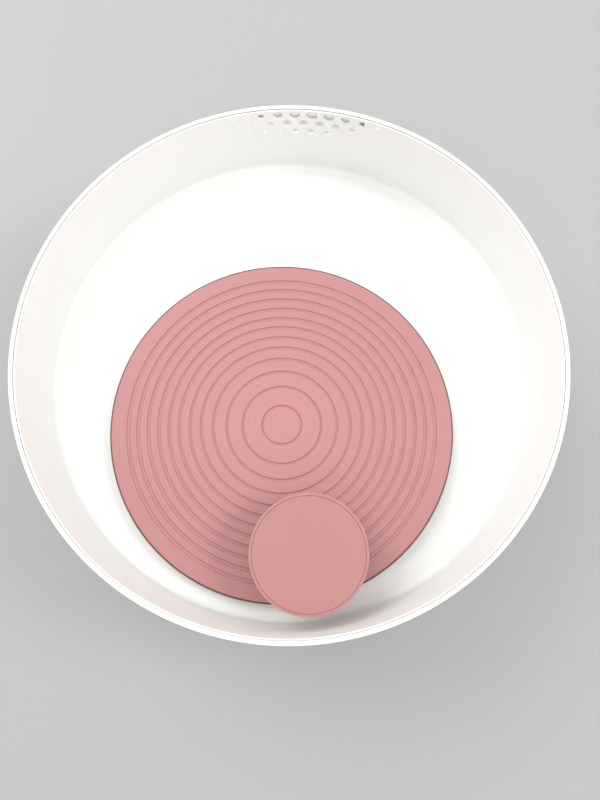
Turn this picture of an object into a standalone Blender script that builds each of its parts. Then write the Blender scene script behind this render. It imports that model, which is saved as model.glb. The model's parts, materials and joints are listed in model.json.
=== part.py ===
"""Hand-turned tabletop pottery wheel: a white splash basin on a drum base, with a pink grooved wheel
head that turns on two ball bearings, and a palm knob near its edge to turn it by.

Metres, +Z up. The origin is on the basin's axis, at the height of the surface that the wheel stands on.
The potter sits on the -Y side, and the strainer holes are on the +Y side.
"""

import math

import bmesh
import bpy
from mathutils import Matrix, Vector

MM = 0.001
GAP = 0.3 * MM            # left between two pieces that touch

# Driving dimensions
HEIGHT = 125.0 * MM       # from the table to the top of the rim
RIM_RADIUS = 146.4 * MM
BASIN_DEPTH = 53.5 * MM   # from the top of the rim to the basin's floor
HEAD_RADIUS = 100.0 * MM  # wheel head
WHEEL_OFFSET = 33.2 * MM  # from the basin's axis to the wheel's axis, towards the potter
HEAD_ABOVE_FLOOR = 9.0 * MM
KNOB_RADIUS = 30.9 * MM
KNOB_ORBIT = 73.5 * MM    # from the wheel's axis to the knob's axis
KNOB_BEARING = math.radians(-69.5)
KNOB_HEIGHT = 28.0 * MM   # from the top of the wheel head to the top of the knob

# Basin
WALL = 1.6 * MM
WALL_INNER_TOP = 143.2 * MM
WALL_INNER_FOOT = 142.8 * MM
FLOOR_TOP = HEIGHT - BASIN_DEPTH
FLOOR_THICKNESS = 3.0 * MM
FLOOR_BOTTOM = FLOOR_TOP - FLOOR_THICKNESS
FLOOR_FILLET = 4.0 * MM
COLLAR_BORE = 15.5 * MM   # raised collar that keeps water away from the spindle
COLLAR_RADIUS = 18.0 * MM
COLLAR_TOP = FLOOR_TOP + 3.0 * MM
LIP = 0.7 * MM            # thin top edge of the wall, inside the rim ring
LIP_HEIGHT = 0.8 * MM
RIM_SKIRT = 11.0 * MM     # how far the rim ring reaches down outside the wall

# Strainer holes
HOLE_PITCH = 9.9 * MM     # along the top row
HOLE_ROWS = 3
HOLE_ROW_STEP = 7.0 * MM
HOLE_ROW_CLOSING = 0.025  # share of the pitch that each row down loses
HOLE_FIRST_ROW = 4.9 * MM  # below the top of the rim
HOLE_FIELD_TURN = math.radians(3.9)  # from +Y towards -X, to the middle of the field
HOLE_LARGEST = 6.4 * MM
HOLE_SMALLEST = 2.4 * MM
HOLE_SPREAD = 3.55        # in pitches, where the sizes reach nothing along a row
HOLE_ROW_LOSS = 0.3       # how much closer each row down is to nothing

# Wheel head
HEAD_TOP = FLOOR_TOP + HEAD_ABOVE_FLOOR
HEAD_PLATE = 4.0 * MM
HEAD_SKIRT = 3.0 * MM
HEAD_UNDERSIDE = HEAD_TOP - HEAD_PLATE
HEAD_FOOT = FLOOR_TOP + 1.5 * MM
SOCKET_RADIUS = 13.0 * MM
SOCKET_FOOT = 68.0 * MM
GROOVE_RATIOS = (0.114, 0.228, 0.321, 0.400, 0.470, 0.534, 0.597, 0.655, 0.715, 0.776, 0.835, 0.893)
GROOVE_WIDTH = 2.0 * MM
GROOVE_DEPTH = 0.8 * MM
HEAD_STEPS = 36

# Spindle, bearings and flywheel, all on the wheel's axis
SPINDLE_RADIUS = 6.0 * MM
SPINDLE_TOP = 78.0 * MM
SPINDLE_FOOT = 11.0 * MM
SHOULDER_RADIUS = 9.0 * MM
BEARING_WIDTH = 10.0 * MM
BEARING_RADIUS = 16.0 * MM
LOWER_BEARING = 14.3 * MM  # underside of each bearing
UPPER_BEARING = 35.5 * MM
BALL_RADIUS = 2.3 * MM
BALL_ORBIT = 11.2 * MM
BALLS = 7
FLYWHEEL_RADIUS = 70.0 * MM
FLYWHEEL_FOOT = 47.8 * MM
FLYWHEEL_TOP = 60.0 * MM

# Base
SHELL_TOP = FLOOR_BOTTOM - 2.5 * MM
SHELL_SHOULDER_RADIUS = 110.0 * MM
SHELL_FOOT_RADIUS = 122.0 * MM
SHELL_FOOT = 4.5 * MM
SHELL_WALL = 3.0 * MM
PLATE_RADIUS = 118.0 * MM
PLATE_FOOT = 6.0 * MM
PLATE_TOP = 10.0 * MM
PILLAR_ORBIT = 100.0 * MM
FOOT_ORBIT = 98.0 * MM
FOOT_RADIUS = 12.0 * MM
BASIN_SCREW_ORBIT = 62.0 * MM
SCREW_RADIUS = 2.0 * MM
SCREW_HOLE = SCREW_RADIUS + GAP
HOLE_TURN = math.radians(11)  # keeps a hole's corners off the seams of the plate it goes through

FINE, MEDIUM, RACE, COARSE = 48, 32, 24, 16  # steps round a large, middling, bearing and small turned piece
SCREW_STEPS = 8

MATERIALS = {
    # name: (base colour, roughness, metallic)
    "white_plastic": ((0.87, 0.86, 0.84), 0.35, 0.0),
    "white_trim": ((0.90, 0.89, 0.87), 0.25, 0.0),
    "pink_plastic": ((0.62, 0.25, 0.26), 0.45, 0.0),
    "acetal": ((0.80, 0.79, 0.74), 0.4, 0.0),
    "rubber": ((0.03, 0.03, 0.03), 0.8, 0.0),
    "bright_steel": ((0.60, 0.60, 0.61), 0.3, 1.0),
    "cast_iron": ((0.12, 0.12, 0.13), 0.6, 0.8),
    "cast_aluminium": ((0.62, 0.63, 0.64), 0.5, 1.0),
}


def clear_scene():
    for old in list(bpy.data.objects):
        bpy.data.objects.remove(old, do_unlink=True)


def new_collection(name):
    made = bpy.data.collections.new(name)
    bpy.context.scene.collection.children.link(made)
    return made


def make_materials():
    made = {}
    for name, (colour, roughness, metallic) in MATERIALS.items():
        material = bpy.data.materials.new(name)
        material.use_nodes = True
        shader = material.node_tree.nodes["Principled BSDF"]
        shader.inputs["Base Color"].default_value = (*colour, 1.0)
        shader.inputs["Roughness"].default_value = roughness
        shader.inputs["Metallic"].default_value = metallic
        material.diffuse_color = (*colour, 1.0)
        made[name] = material
    return made


clear_scene()
parts = new_collection("pottery_wheel")
cutters = new_collection("cutters")
materials = make_materials()


def new_axis(name, x, y, parent=None):
    """An empty on a turning axis; its children are placed relative to it."""
    axis = bpy.data.objects.new(name, None)
    parts.objects.link(axis)
    axis.parent = parent
    axis.location = (x, y, 0.0)
    return axis


def on_circle(orbit, angle):
    return orbit * math.cos(angle), orbit * math.sin(angle)


def round_corner(before, corner, after, radius, steps):
    """Points of an arc of that radius, tangent to the two sides that meet at the corner."""
    a, b, c = Vector(before), Vector(corner), Vector(after)
    to_a, to_c = (a - b).normalized(), (c - b).normalized()
    half = to_a.angle(to_c) / 2.0
    reach = radius / math.tan(half)
    centre = b + (to_a + to_c).normalized() * (radius / math.sin(half))
    first, last = b + to_a * reach - centre, b + to_c * reach - centre
    turn = first.angle_signed(last)
    return [centre + Matrix.Rotation(-turn * i / steps, 2) @ first for i in range(steps + 1)]


def outline(points, steps=3, closed=True):
    """Turns corners given as (radius, z) or (radius, z, rounding) into plain (radius, z) points."""
    flat = [Vector(p[:2]) for p in points]
    made = []
    for i, p in enumerate(points):
        at_end = not closed and i in (0, len(points) - 1)
        if len(p) == 2 or at_end:
            made.append(flat[i])
            continue
        after = flat[(i + 1) % len(points)]
        made.extend(round_corner(flat[i - 1], flat[i], after, p[2], steps))
    return made


def link_part(name, mesh, material, parent=None, location=(0.0, 0.0, 0.0)):
    mesh.name = name
    mesh.materials.clear()
    mesh.materials.append(materials[material])
    made = bpy.data.objects.new(name, mesh)
    parts.objects.link(made)
    made.parent = parent
    made.location = location
    return made


def settle(made):
    """Applies an object's modifiers and shades it smooth up to its edges."""
    bpy.context.view_layer.update()
    graph = bpy.context.evaluated_depsgraph_get()
    mesh = bpy.data.meshes.new_from_object(made.evaluated_get(graph))
    made.modifiers.clear()
    made.data = mesh
    mesh.shade_smooth()
    mesh.set_sharp_from_angle(angle=math.radians(35))
    return made


def turned(name, profile, material, parent=None, at=(0.0, 0.0), steps=MEDIUM, ring=True):
    """A solid turned about Z. Its profile runs down the outer side, then up the inner side of a ring;
    the profile of a piece with no bore starts and ends on the axis."""
    mesh = bpy.data.meshes.new(name)
    shape = bmesh.new()
    verts = [shape.verts.new((r, 0.0, z)) for r, z in profile]
    pairs = list(zip(verts, verts[1:]))
    if ring:
        pairs.append((verts[-1], verts[0]))
    for pair in pairs:
        shape.edges.new(pair)
    shape.to_mesh(mesh)
    shape.free()
    made = link_part(name, mesh, material, parent, (at[0], at[1], 0.0))
    screw = made.modifiers.new("turn", "SCREW")
    screw.steps = steps
    screw.render_steps = steps
    screw.use_merge_vertices = True
    screw.merge_threshold = 0.01 * MM
    return settle(made)


def ring_of(inner, outer, low, high, rounding=0.0):
    """The profile of a plain ring."""
    if rounding:
        return outline([(outer, high, rounding), (outer, low, rounding), (inner, low), (inner, high)], 2)
    return outline([(outer, high), (outer, low), (inner, low), (inner, high)])


def add_cylinder(shape, radius, low, high, x=0.0, y=0.0, sides=12, turn=0.0):
    place = Matrix.Translation((x, y, (low + high) / 2)) @ Matrix.Rotation(turn, 4, "Z")
    bmesh.ops.create_cone(shape, cap_ends=True, segments=sides, radius1=radius, radius2=radius,
                          depth=high - low, matrix=place)


def add_radial_cylinder(shape, radius, length, distance, angle, z, sides=12):
    """A cylinder along a radius, centred that far from the axis."""
    lie = Matrix.Rotation(math.pi / 2, 4, "Y")
    place = Matrix.Rotation(angle, 4, "Z") @ Matrix.Translation((distance, 0.0, z)) @ lie
    bmesh.ops.create_cone(shape, cap_ends=True, segments=sides, radius1=radius, radius2=radius,
                          depth=length, matrix=place)


def add_box(shape, size, centre):
    place = Matrix.Translation(centre) @ Matrix.Diagonal((*size, 1.0))
    bmesh.ops.create_cube(shape, size=1.0, matrix=place)


def finish_shape(name, shape, material, parent=None, at=(0.0, 0.0)):
    mesh = bpy.data.meshes.new(name)
    shape.to_mesh(mesh)
    shape.free()
    return settle(link_part(name, mesh, material, parent, (at[0], at[1], 0.0)))


def combine(made, name, shape, operation):
    """Cuts the shape from a part, or joins it on."""
    mesh = bpy.data.meshes.new(name)
    shape.to_mesh(mesh)
    shape.free()
    tool = bpy.data.objects.new(name, mesh)
    cutters.objects.link(tool)
    tool.parent = made.parent
    tool.location = made.location
    tool.hide_render = True
    tool.display_type = "WIRE"
    step = made.modifiers.new(name, "BOOLEAN")
    step.operation = operation
    step.solver = "EXACT"
    step.object = tool
    return settle(made)


def make_screws(name, places, head_radius, head, shank, parent=None):
    """A numbered row of equal screws. head and shank are (low, high) along Z, and one ends where the other
    starts."""
    face, tip = (0.0, head[1]), (0.0, shank[0])
    side = [(head_radius, head[1], 0.7 * MM), (head_radius, head[0]), (SCREW_RADIUS, head[0]),
            (SCREW_RADIUS, shank[0])]
    if shank[0] >= head[1]:
        face, tip = (0.0, shank[1]), (0.0, head[0])
        side = [(SCREW_RADIUS, shank[1]), (SCREW_RADIUS, head[1]), (head_radius, head[1]),
                (head_radius, head[0], 0.7 * MM)]
    profile = outline([face, *side, tip], 1, closed=False)
    for number, place in enumerate(places, 1):
        turned(f"{name}_{number}", profile, "bright_steel", parent, place, steps=SCREW_STEPS, ring=False)


wheel_axis = new_axis("wheel_axis", 0.0, -WHEEL_OFFSET)
knob_axis = new_axis("knob_axis", *on_circle(KNOB_ORBIT, KNOB_BEARING), parent=wheel_axis)
quarter_turns = [i * math.pi / 2 for i in range(4)]
eighths = [a + math.pi / 4 for a in quarter_turns]


# Base: plate, feet, shell

def make_base_plate():
    foot_places = [on_circle(FOOT_ORBIT, a) for a in quarter_turns]
    pillar_places = [on_circle(PILLAR_ORBIT, a) for a in eighths]
    housing_places = [(x, y - WHEEL_OFFSET) for x, y in (on_circle(28 * MM, a) for a in eighths)]
    profile = outline([(0, PLATE_TOP), (PLATE_RADIUS, PLATE_TOP, 0.8 * MM),
                       (PLATE_RADIUS, PLATE_FOOT, 0.8 * MM), (0, PLATE_FOOT)], 2, closed=False)
    plate = turned("base_plate", profile, "white_plastic", steps=MEDIUM, ring=False)
    holes = bmesh.new()
    for x, y in foot_places + pillar_places + housing_places:
        add_cylinder(holes, SCREW_HOLE, PLATE_FOOT - MM, PLATE_TOP + MM, x, y, sides=8, turn=HOLE_TURN)
    plate = combine(plate, "base_plate_holes", holes, "DIFFERENCE")
    counterbores = bmesh.new()
    for x, y in pillar_places:
        add_cylinder(counterbores, 4.5 * MM, PLATE_FOOT - MM, PLATE_FOOT + 2.4 * MM, x, y, sides=12)
    combine(plate, "base_plate_counterbores", counterbores, "DIFFERENCE")
    make_screws("base_screw", pillar_places, 4.0 * MM, (PLATE_FOOT + 0.2 * MM, PLATE_FOOT + 2.1 * MM),
                (PLATE_FOOT + 2.1 * MM, 24 * MM))
    make_screws("foot_screw", foot_places, 4.0 * MM, (1.6 * MM, 3.4 * MM), (3.4 * MM, PLATE_TOP - 0.5 * MM))
    make_screws("housing_screw", housing_places, 4.2 * MM, (15.3 * MM, 18.8 * MM),
                (PLATE_FOOT + 0.5 * MM, 15.3 * MM))
    for number, (x, y) in enumerate(foot_places, 1):
        foot = outline([(FOOT_RADIUS - MM, PLATE_FOOT - GAP, 0.6 * MM), (FOOT_RADIUS, 0, 1.2 * MM),
                        (6.0 * MM, 0), (5.0 * MM, 3.7 * MM), (SCREW_HOLE, 3.7 * MM),
                        (SCREW_HOLE, PLATE_FOOT - GAP)], 1)
        turned(f"rubber_foot_{number}", foot, "rubber", at=(x, y), steps=COARSE)


def make_base_shell():
    inner = SHELL_SHOULDER_RADIUS - SHELL_WALL
    profile = outline([
        (SHELL_SHOULDER_RADIUS, SHELL_TOP, 9 * MM),
        (SHELL_FOOT_RADIUS, SHELL_FOOT + 10 * MM, 14 * MM),
        (SHELL_FOOT_RADIUS, SHELL_FOOT, 1.2 * MM),
        (SHELL_FOOT_RADIUS - SHELL_WALL, SHELL_FOOT),
        (SHELL_FOOT_RADIUS - SHELL_WALL, SHELL_FOOT + 10 * MM),
        (inner, SHELL_TOP - SHELL_WALL, 6 * MM),
        (0, SHELL_TOP - SHELL_WALL),
        (0, SHELL_TOP),
    ], 2)
    shell = turned("base_shell", profile[-1:] + profile[:-1], "white_plastic", steps=FINE, ring=False)
    pillars = bmesh.new()
    for a in eighths:
        add_cylinder(pillars, 6 * MM, PLATE_TOP + GAP, SHELL_TOP - MM, *on_circle(PILLAR_ORBIT, a), sides=10)
    bosses_at = [on_circle(BASIN_SCREW_ORBIT, a) for a in eighths]
    for x, y in bosses_at:
        add_cylinder(pillars, 6 * MM, SHELL_TOP - MM, FLOOR_BOTTOM - GAP, x, y - WHEEL_OFFSET, sides=10)
    shell = combine(shell, "base_shell_bosses", pillars, "UNION")
    holes = bmesh.new()
    add_cylinder(holes, 22 * MM, SHELL_TOP - 6 * MM, SHELL_TOP + 6 * MM, 0, -WHEEL_OFFSET, sides=24)
    for x, y in bosses_at:
        add_cylinder(holes, SCREW_HOLE, SHELL_TOP - 6 * MM, SHELL_TOP + 6 * MM, x, y - WHEEL_OFFSET, sides=8)
    for a in eighths:
        add_cylinder(holes, SCREW_HOLE, PLATE_TOP - MM, 26 * MM, *on_circle(PILLAR_ORBIT, a), sides=8)
    combine(shell, "base_shell_holes", holes, "DIFFERENCE")
    turned("basin_gasket", ring_of(96 * MM, 100 * MM, SHELL_TOP + GAP, FLOOR_BOTTOM - GAP), "rubber",
           steps=MEDIUM)


# Basin: tub with a collar and strainer holes, and its rim ring

def strainer_holes():
    """(angle from +Y, height, radius) of each hole: staggered rows whose sizes fade from the middle of the
    top one."""
    made = []
    for row in range(HOLE_ROWS):
        shift = 0.5 * (row % 2)
        angle_step = HOLE_PITCH * (1 - HOLE_ROW_CLOSING * row) / WALL_INNER_TOP
        for i in range(-5, 6):
            along = i + shift
            fade = (along / HOLE_SPREAD) ** 2 + HOLE_ROW_LOSS * row
            if fade >= 1:
                continue
            radius = HOLE_LARGEST / 2 * math.sqrt(1 - fade)
            if radius < HOLE_SMALLEST / 2:
                continue
            z = HEIGHT - HOLE_FIRST_ROW - row * HOLE_ROW_STEP
            made.append((along * angle_step - HOLE_FIELD_TURN, z, radius))
    return made


def make_basin():
    lip_top = HEIGHT - GAP
    ledge = lip_top - LIP_HEIGHT
    outer_top, outer_foot = WALL_INNER_TOP + WALL, WALL_INNER_FOOT + WALL
    collar = (0.0, -WHEEL_OFFSET)
    profile = outline([
        (WALL_INNER_TOP + LIP, lip_top),
        (WALL_INNER_TOP + LIP, ledge),
        (outer_top, ledge),
        (outer_foot, FLOOR_BOTTOM, 6 * MM),
        (0, FLOOR_BOTTOM),
        (0, FLOOR_TOP),
        (WALL_INNER_FOOT, FLOOR_TOP, FLOOR_FILLET),
        (WALL_INNER_TOP, lip_top),
    ], 3)
    floor_edge = next(i for i, p in enumerate(profile) if p[0] < 1e-6) + 1
    basin = turned("splash_basin", profile[floor_edge:] + profile[:floor_edge], "white_plastic", steps=FINE,
                   ring=False)
    collar_wall = bmesh.new()
    add_cylinder(collar_wall, COLLAR_RADIUS, FLOOR_TOP - MM, COLLAR_TOP, *collar, sides=24)
    basin = combine(basin, "splash_basin_collar", collar_wall, "UNION")
    holes = bmesh.new()
    add_cylinder(holes, COLLAR_BORE, FLOOR_BOTTOM - MM, COLLAR_TOP + MM, *collar, sides=24)
    for a in eighths:
        x, y = on_circle(BASIN_SCREW_ORBIT, a)
        add_cylinder(holes, SCREW_HOLE, FLOOR_BOTTOM - MM, FLOOR_TOP + MM, x, y - WHEEL_OFFSET, sides=8)
    for angle, z, radius in strainer_holes():
        add_radial_cylinder(holes, radius, 12 * MM, WALL_INNER_TOP, math.pi / 2 - angle, z, sides=10)
    combine(basin, "splash_basin_holes", holes, "DIFFERENCE")

    ring_in, skirt_in = WALL_INNER_TOP + LIP + GAP, outer_top + GAP
    ring = outline([
        (RIM_RADIUS, HEIGHT, 0.7 * MM),
        (RIM_RADIUS, HEIGHT - RIM_SKIRT, 0.4 * MM),
        (skirt_in, HEIGHT - RIM_SKIRT),
        (skirt_in, ledge + GAP),
        (ring_in, ledge + GAP),
        (ring_in, HEIGHT),
    ], 2)
    turned("rim_ring", ring, "white_trim", steps=FINE)

    screw_places = [(x, y - WHEEL_OFFSET) for x, y in (on_circle(BASIN_SCREW_ORBIT, a) for a in eighths)]
    screw_foot = SHELL_TOP - SHELL_WALL - 0.5 * MM
    make_screws("basin_screw", screw_places, 4.0 * MM, (FLOOR_TOP + 1.6 * MM, FLOOR_TOP + 3.6 * MM),
                (screw_foot, FLOOR_TOP + 1.6 * MM))
    washer = ring_of(SCREW_HOLE, 5.5 * MM, FLOOR_TOP + GAP, FLOOR_TOP + 1.3 * MM)
    for number, place in enumerate(screw_places, 1):
        turned(f"basin_washer_{number}", washer, "rubber", at=place, steps=SCREW_STEPS)


# Bearings and their housing

def make_bearing(level, low):
    """Outer race, inner race, and crown cage with its balls, of one deep-groove bearing."""
    high = low + BEARING_WIDTH
    middle = (low + high) / 2
    track = BALL_RADIUS + GAP
    outer_land, inner_land = BALL_ORBIT + 1.4 * MM, BALL_ORBIT - 1.4 * MM

    def track_points(side):
        """Points across a ball track, from its upper to its lower edge; side is 1 outside, -1 inside."""
        reach = math.acos(1.4 * MM / track)
        return [(BALL_ORBIT + side * track * math.cos(reach * k), middle + track * math.sin(reach * k))
                for k in (1, 0, -1)]

    outer = [(BEARING_RADIUS, high), (BEARING_RADIUS, low), (outer_land, low)]
    outer += track_points(1)[::-1] + [(outer_land, high)]
    turned(f"{level}_outer_race", outer, "bright_steel", wheel_axis, steps=RACE)
    bore = SPINDLE_RADIUS + GAP
    inner = [(inner_land, high)] + track_points(-1) + [(inner_land, low), (bore, low), (bore, high)]
    turned(f"{level}_inner_race", inner, "bright_steel", wheel_axis, steps=RACE)

    cage = turned(f"{level}_ball_cage", ring_of(BALL_ORBIT - MM, BALL_ORBIT + MM, middle, high - 1.2 * MM),
                  "bright_steel", wheel_axis, steps=RACE)
    balls = bmesh.new()
    for i in range(BALLS):
        place = Matrix.Translation((*on_circle(BALL_ORBIT, 2 * math.pi * i / BALLS), middle))
        bmesh.ops.create_uvsphere(balls, u_segments=8, v_segments=4, radius=BALL_RADIUS, matrix=place)
    combine(cage, f"{level}_cage_balls", balls, "UNION")


def make_housing():
    foot, flange_top, top = PLATE_TOP + GAP, 15.0 * MM, 46.0 * MM
    seat, ledge = BEARING_RADIUS + GAP, 13.2 * MM
    housing = turned("bearing_housing", outline([
        (21 * MM, top, 1 * MM), (21 * MM, flange_top, 2.5 * MM), (34 * MM, flange_top, 1 * MM),
        (34 * MM, foot), (seat, foot), (seat, LOWER_BEARING + BEARING_WIDTH + GAP),
        (ledge, LOWER_BEARING + BEARING_WIDTH + GAP), (ledge, UPPER_BEARING - GAP),
        (seat, UPPER_BEARING - GAP), (seat, top),
    ], 2), "cast_aluminium", at=(0.0, -WHEEL_OFFSET), steps=RACE)
    holes = bmesh.new()
    for a in eighths:
        add_cylinder(holes, SCREW_HOLE, foot - MM, flange_top + MM, *on_circle(28 * MM, a), sides=8)
    combine(housing, "bearing_housing_holes", holes, "DIFFERENCE")


# What turns with the wheel: spindle, flywheel, wheel head

def make_spindle():
    clip_groove = 5.0 * MM
    turned("spindle", outline([
        (0, SPINDLE_TOP), (5.2 * MM, SPINDLE_TOP), (SPINDLE_RADIUS, SPINDLE_TOP - 0.8 * MM),
        (SPINDLE_RADIUS, 47.2 * MM), (SHOULDER_RADIUS, 47.2 * MM),
        (SHOULDER_RADIUS, UPPER_BEARING + BEARING_WIDTH + GAP),
        (SPINDLE_RADIUS, UPPER_BEARING + BEARING_WIDTH + GAP),
        (SPINDLE_RADIUS, 13.9 * MM), (clip_groove, 13.9 * MM), (clip_groove, 12.4 * MM),
        (SPINDLE_RADIUS, 12.4 * MM), (SPINDLE_RADIUS, 11.6 * MM), (5.4 * MM, SPINDLE_FOOT), (0, SPINDLE_FOOT),
    ], closed=False), "bright_steel", wheel_axis, steps=COARSE, ring=False)
    cross_hole = bmesh.new()
    add_radial_cylinder(cross_hole, 2.0 * MM + GAP, 20 * MM, 0.0, 0.0, 70 * MM, sides=12)
    combine(bpy.data.objects["spindle"], "spindle_cross_hole", cross_hole, "DIFFERENCE")
    pin = bmesh.new()
    add_radial_cylinder(pin, 2.0 * MM, 22 * MM, 0.0, 0.0, 70 * MM, sides=12)
    finish_shape("drive_pin", pin, "bright_steel", wheel_axis)
    clip = turned("spindle_clip", ring_of(clip_groove + GAP, 9 * MM, 12.6 * MM, 13.6 * MM), "bright_steel",
                  wheel_axis, steps=COARSE)
    opening = bmesh.new()
    add_box(opening, (8 * MM, 7 * MM, 4 * MM), (8 * MM, 0.0, 13 * MM))
    combine(clip, "spindle_clip_opening", opening, "DIFFERENCE")
    turned("race_spacer", ring_of(SPINDLE_RADIUS + GAP, 8.5 * MM, LOWER_BEARING + BEARING_WIDTH + GAP,
                                  UPPER_BEARING - GAP), "bright_steel", wheel_axis, steps=COARSE)


def make_flywheel():
    bore, web_top, web_foot = SPINDLE_RADIUS + GAP, 56.5 * MM, 51.0 * MM
    low, high = FLYWHEEL_FOOT, FLYWHEEL_TOP
    turned("flywheel", outline([
        (FLYWHEEL_RADIUS, high, 1.5 * MM), (FLYWHEEL_RADIUS, low, 1.5 * MM), (54 * MM, low, 1 * MM),
        (52 * MM, web_foot), (17 * MM, web_foot), (15 * MM, low), (bore, low), (bore, high),
        (15 * MM, high), (17 * MM, web_top), (52 * MM, web_top), (54 * MM, high, 1 * MM),
    ], 1), "cast_iron", wheel_axis, steps=MEDIUM)
    turned("flywheel_washer", ring_of(bore, 12 * MM, high + GAP, high + 1.8 * MM), "bright_steel", wheel_axis,
           steps=COARSE)
    nut = bmesh.new()
    add_cylinder(nut, 9.5 * MM / math.cos(math.pi / 6), high + 2.1 * MM, high + 6.6 * MM, sides=6)
    made = finish_shape("flywheel_nut", nut, "bright_steel", wheel_axis)
    thread = bmesh.new()
    add_cylinder(thread, bore, high, high + 9 * MM, sides=COARSE)
    combine(made, "flywheel_nut_bore", thread, "DIFFERENCE")


def make_wheel_head():
    top = [(0.0, HEAD_TOP)]
    for ratio in GROOVE_RATIOS:
        middle = ratio * HEAD_RADIUS
        top += [(middle - GROOVE_WIDTH / 2, HEAD_TOP), (middle, HEAD_TOP - GROOVE_DEPTH),
                (middle + GROOVE_WIDTH / 2, HEAD_TOP)]
    bore = SPINDLE_RADIUS + GAP
    profile = top + [
        (HEAD_RADIUS, HEAD_TOP, 1.2 * MM), (HEAD_RADIUS, HEAD_FOOT, 0.8 * MM),
        (HEAD_RADIUS - HEAD_SKIRT, HEAD_FOOT), (HEAD_RADIUS - HEAD_SKIRT, HEAD_UNDERSIDE),
        (SOCKET_RADIUS, HEAD_UNDERSIDE), (SOCKET_RADIUS, SOCKET_FOOT), (bore, SOCKET_FOOT),
        (bore, SPINDLE_TOP + GAP), (0.0, SPINDLE_TOP + GAP),
    ]
    head = turned("wheel_head", outline(profile, 2, closed=False), "pink_plastic", wheel_axis, steps=HEAD_STEPS,
                  ring=False)
    cuts = bmesh.new()
    add_box(cuts, (40 * MM, 4.6 * MM, 6 * MM), (0.0, 0.0, 69.5 * MM))
    add_cylinder(cuts, 3.0 * MM + GAP, HEAD_UNDERSIDE - MM, HEAD_TOP + MM,
                 *on_circle(KNOB_ORBIT, KNOB_BEARING), sides=12)
    combine(head, "wheel_head_cuts", cuts, "DIFFERENCE")
    turned("flinger_ring", ring_of(SOCKET_RADIUS + GAP, COLLAR_RADIUS + 1.5 * MM, COLLAR_TOP + 0.4 * MM,
                                   HEAD_UNDERSIDE - GAP, 0.4 * MM), "rubber", wheel_axis, steps=COARSE)


# Knob, on its shoulder screw

def make_knob():
    top = HEAD_TOP + KNOB_HEIGHT
    foot = HEAD_TOP + 1.8 * MM
    cap_rim, cap_seat = 1.6 * MM, top - 2.0 * MM
    shoulder_top = top - 7.3 * MM
    screw_head = (shoulder_top, shoulder_top + 3.0 * MM)
    turned("knob_screw", outline([
        (0, screw_head[1]), (7 * MM, screw_head[1], 0.8 * MM), (7 * MM, screw_head[0]),
        (4 * MM, screw_head[0]), (4 * MM, HEAD_TOP + GAP), (3 * MM, HEAD_TOP + GAP),
        (3 * MM, FLOOR_TOP + 0.9 * MM), (0, FLOOR_TOP + 0.9 * MM),
    ], 2, closed=False), "bright_steel", knob_axis, steps=COARSE, ring=False)
    nut = bmesh.new()
    nut_low = FLOOR_TOP + 1.4 * MM
    add_cylinder(nut, 5.0 * MM / math.cos(math.pi / 6), nut_low, HEAD_UNDERSIDE - GAP, sides=6)
    made = finish_shape("knob_nut", nut, "bright_steel", knob_axis)
    thread = bmesh.new()
    add_cylinder(thread, 3.0 * MM + GAP, nut_low - MM, HEAD_UNDERSIDE + MM, sides=COARSE)
    combine(made, "knob_nut_bore", thread, "DIFFERENCE")
    turned("knob_washer", ring_of(4 * MM + GAP, 11 * MM, HEAD_TOP + GAP, HEAD_TOP + 1.5 * MM), "acetal",
           knob_axis, steps=COARSE)
    turned("knob_bush", ring_of(4 * MM + GAP, 6 * MM, foot, shoulder_top - GAP), "acetal", knob_axis,
           steps=COARSE)
    turned("knob_body", outline([
        (KNOB_RADIUS, top, 1.4 * MM), (KNOB_RADIUS, top - 7.5 * MM, 2.6 * MM), (12 * MM, top - 9.5 * MM, 5 * MM),
        (10.5 * MM, foot, 1 * MM), (6 * MM + GAP, foot), (6 * MM + GAP, shoulder_top - GAP),
        (8 * MM, shoulder_top - GAP), (8 * MM, cap_seat), (KNOB_RADIUS - cap_rim, cap_seat),
        (KNOB_RADIUS - cap_rim, top),
    ], 2), "pink_plastic", knob_axis, steps=MEDIUM)
    turned("knob_cap", outline([
        (0, top), (KNOB_RADIUS - cap_rim - GAP, top, 0.5 * MM), (KNOB_RADIUS - cap_rim - GAP, cap_seat + GAP),
        (0, cap_seat + GAP),
    ], 2, closed=False), "pink_plastic", knob_axis, steps=MEDIUM, ring=False)


make_base_plate()
make_base_shell()
make_basin()
make_housing()
make_bearing("lower", LOWER_BEARING)
make_bearing("upper", UPPER_BEARING)
make_spindle()
make_flywheel()
make_wheel_head()
make_knob()
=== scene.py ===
"""The looks of a hand-turned tabletop pottery wheel: a white splash basin on a drum base, and in it a
pink grooved wheel head with a palm knob to turn it by.

Metres, +Z up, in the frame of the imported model. The potter sits on the -Y side. Each piece is built
about its own axis, so its material's object coordinates are centred there.
"""

import json
import math

import bmesh
import bpy
from mathutils import Matrix, Vector


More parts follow.
